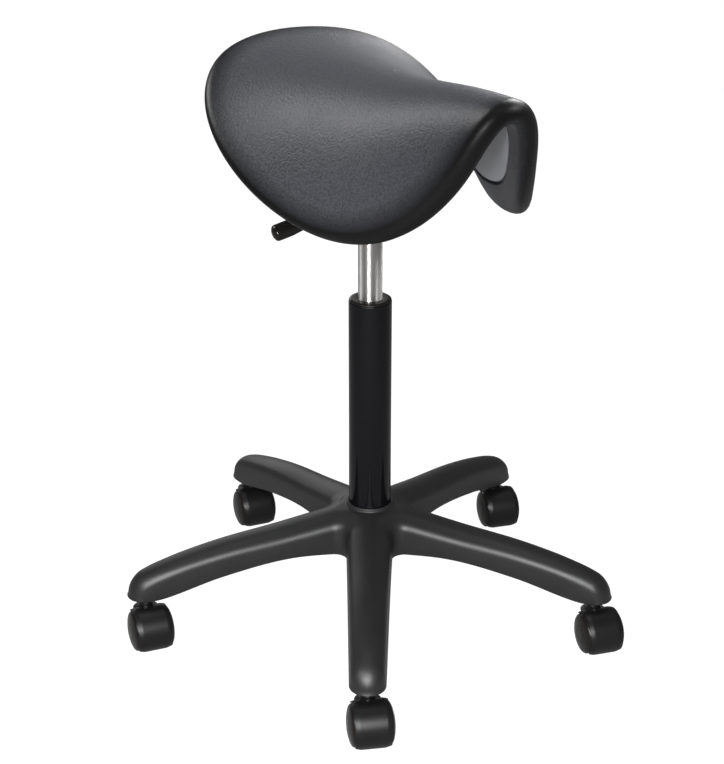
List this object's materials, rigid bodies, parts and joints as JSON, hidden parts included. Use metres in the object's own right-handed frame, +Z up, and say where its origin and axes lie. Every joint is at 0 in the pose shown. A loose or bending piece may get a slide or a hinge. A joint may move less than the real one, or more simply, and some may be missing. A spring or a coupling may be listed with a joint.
{
  "type": "saddle stool",
  "caption": "Height-adjustable swivel stool with a moulded saddle seat on a gas lift, a star base of ribbed arms and swivelling twin-wheel casters.",
  "frame": {"origin": "on the floor under the middle of the bounding box", "axes": "+Z up along the column, -Y along the front arm of the base, +X to its right; the saddle points 57.4 degrees from +X towards -Y"},
  "size_m": [0.5844, 0.5736, 0.6911],
  "materials": {
    "skin_foam": "fine-grained moulded skin",
    "grey_panel": "satin moulded",
    "plywood": "raw",
    "black_nylon": "fine moulded grain",
    "black_plastic": "smooth moulded",
    "painted_tube": "gloss black",
    "bright_steel": "polished",
    "zinc_steel": "zinc plated",
    "pressed_steel": "black powder coat",
    "rubber": "matt"
  },
  "bodies": {
    "base": {"five_star_base": "black_nylon", "hub_ring": "zinc_steel", "stand_tube": "painted_tube", "guide_bush": "black_plastic", "lower_washer": "zinc_steel", "ball_cage": "zinc_steel", "caster_1_grip_ring": "zinc_steel", "caster_2_grip_ring": "zinc_steel", "caster_3_grip_ring": "zinc_steel", "caster_4_grip_ring": "zinc_steel", "caster_5_grip_ring": "zinc_steel"},
    "swivel": {"piston_rod": "bright_steel", "piston": "zinc_steel", "retaining_clip": "zinc_steel", "upper_washer": "zinc_steel", "buffer": "rubber"},
    "seat": {"gas_cylinder": "bright_steel", "cylinder_gland": "black_plastic", "taper_socket": "pressed_steel", "mechanism_pan": "pressed_steel", "mounting_pad": "plywood", "mount_screw_1": "zinc_steel", "mount_screw_2": "zinc_steel", "mount_screw_3": "zinc_steel", "mount_screw_4": "zinc_steel", "saddle_shell": "grey_panel", "saddle_cover": "skin_foam", "lever_bracket": "pressed_steel", "lever_pivot_pin": "zinc_steel"},
    "lever": {"lever_rod": "zinc_steel", "lever_grip": "black_plastic"},
    "valve": {"release_pin": "bright_steel"},
    "caster_1": {"caster_1_stem": "zinc_steel", "caster_1_hood": "black_nylon", "caster_1_axle": "zinc_steel"},
    "wheel_1_right": {"caster_1_wheel_right": "black_plastic"},
    "wheel_1_left": {"caster_1_wheel_left": "black_plastic"},
    "caster_2": {"caster_2_stem": "zinc_steel", "caster_2_hood": "black_nylon", "caster_2_axle": "zinc_steel"},
    "wheel_2_right": {"caster_2_wheel_right": "black_plastic"},
    "wheel_2_left": {"caster_2_wheel_left": "black_plastic"},
    "caster_3": {"caster_3_stem": "zinc_steel", "caster_3_hood": "black_nylon", "caster_3_axle": "zinc_steel"},
    "wheel_3_right": {"caster_3_wheel_right": "black_plastic"},
    "wheel_3_left": {"caster_3_wheel_left": "black_plastic"},
    "caster_4": {"caster_4_stem": "zinc_steel", "caster_4_hood": "black_nylon", "caster_4_axle": "zinc_steel"},
    "wheel_4_right": {"caster_4_wheel_right": "black_plastic"},
    "wheel_4_left": {"caster_4_wheel_left": "black_plastic"},
    "caster_5": {"caster_5_stem": "zinc_steel", "caster_5_hood": "black_nylon", "caster_5_axle": "zinc_steel"},
    "wheel_5_right": {"caster_5_wheel_right": "black_plastic"},
    "wheel_5_left": {"caster_5_wheel_left": "black_plastic"}
  },
  "joints": [
    {"name": "seat_swivel", "type": "hinge", "parent": "base", "child": "swivel", "pos_m": [-0.00632, 0.04107, 0.3], "axis": [0, 0, 1], "continuous": true},
    {"name": "seat_lift", "type": "slide", "parent": "swivel", "child": "seat", "axis": [0, 0, 1], "range_m": [-0.122, 0.073]},
    {"name": "lever_lift", "type": "hinge", "parent": "seat", "child": "lever", "pos_m": [-0.03075, 0.03218, 0.59799], "axis": [-0.342, 0.9397, 0], "range_deg": [0, 6], "stiffness_Nm_per_rad": 2, "springref_deg": -8.59},
    {"name": "release_pin_slide", "type": "slide", "parent": "seat", "child": "valve", "axis": [0, 0, -1], "range_m": [0, 0.0028]},
    {"name": "caster_1_swivel", "type": "hinge", "parent": "base", "child": "caster_1", "pos_m": [-0.00632, -0.23693, 0.06], "axis": [0, 0, 1], "continuous": true},
    {"name": "wheel_1_right_spin", "type": "hinge", "parent": "caster_1", "child": "wheel_1_right", "pos_m": [-0.00285, -0.25662, 0.024], "axis": [0.9848, 0.1736, 0], "continuous": true},
    {"name": "wheel_1_left_spin", "type": "hinge", "parent": "caster_1", "child": "wheel_1_left", "pos_m": [-0.00285, -0.25662, 0.024], "axis": [0.9848, 0.1736, 0], "continuous": true},
    {"name": "caster_2_swivel", "type": "hinge", "parent": "base", "child": "caster_2", "pos_m": [0.25807, -0.04483, 0.06], "axis": [0, 0, 1], "continuous": true},
    {"name": "wheel_2_right_spin", "type": "hinge", "parent": "caster_2", "child": "wheel_2_right", "pos_m": [0.26392, -0.06396, 0.024], "axis": [0.9563, 0.2924, 0], "continuous": true},
    {"name": "wheel_2_left_spin", "type": "hinge", "parent": "caster_2", "child": "wheel_2_left", "pos_m": [0.26392, -0.06396, 0.024], "axis": [0.9563, 0.2924, 0], "continuous": true},
    {"name": "caster_3_swivel", "type": "hinge", "parent": "base", "child": "caster_3", "pos_m": [0.15709, 0.26598, 0.06], "axis": [0, 0, 1], "continuous": true},
    {"name": "wheel_3_right_spin", "type": "hinge", "parent": "caster_3", "child": "wheel_3_right", "pos_m": [0.1626, 0.24676, 0.024], "axis": [0.9613, 0.2756, 0], "continuous": true},
    {"name": "wheel_3_left_spin", "type": "hinge", "parent": "caster_3", "child": "wheel_3_left", "pos_m": [0.1626, 0.24676, 0.024], "axis": [0.9613, 0.2756, 0], "continuous": true},
    {"name": "caster_4_swivel", "type": "hinge", "parent": "base", "child": "caster_4", "pos_m": [-0.16972, 0.26598, 0.06], "axis": [0, 0, 1], "continuous": true},
    {"name": "wheel_4_right_spin", "type": "hinge", "parent": "caster_4", "child": "wheel_4_right", "pos_m": [-0.16191, 0.24757, 0.024], "axis": [0.9205, 0.3907, 0], "continuous": true},
    {"name": "wheel_4_left_spin", "type": "hinge", "parent": "caster_4", "child": "wheel_4_left", "pos_m": [-0.16191, 0.24757, 0.024], "axis": [0.9205, 0.3907, 0], "continuous": true},
    {"name": "caster_5_swivel", "type": "hinge", "parent": "base", "child": "caster_5", "pos_m": [-0.27071, -0.04483, 0.06], "axis": [0, 0, 1], "continuous": true},
    {"name": "wheel_5_right_spin", "type": "hinge", "parent": "caster_5", "child": "wheel_5_right", "pos_m": [-0.26322, -0.06338, 0.024], "axis": [0.9272, 0.3746, 0], "continuous": true},
    {"name": "wheel_5_left_spin", "type": "hinge", "parent": "caster_5", "child": "wheel_5_left", "pos_m": [-0.26322, -0.06338, 0.024], "axis": [0.9272, 0.3746, 0], "continuous": true}
  ],
  "couplings": [
    {"joint": "release_pin_slide", "follows": "lever_lift", "m_per_rad": 0.026}
  ]
}
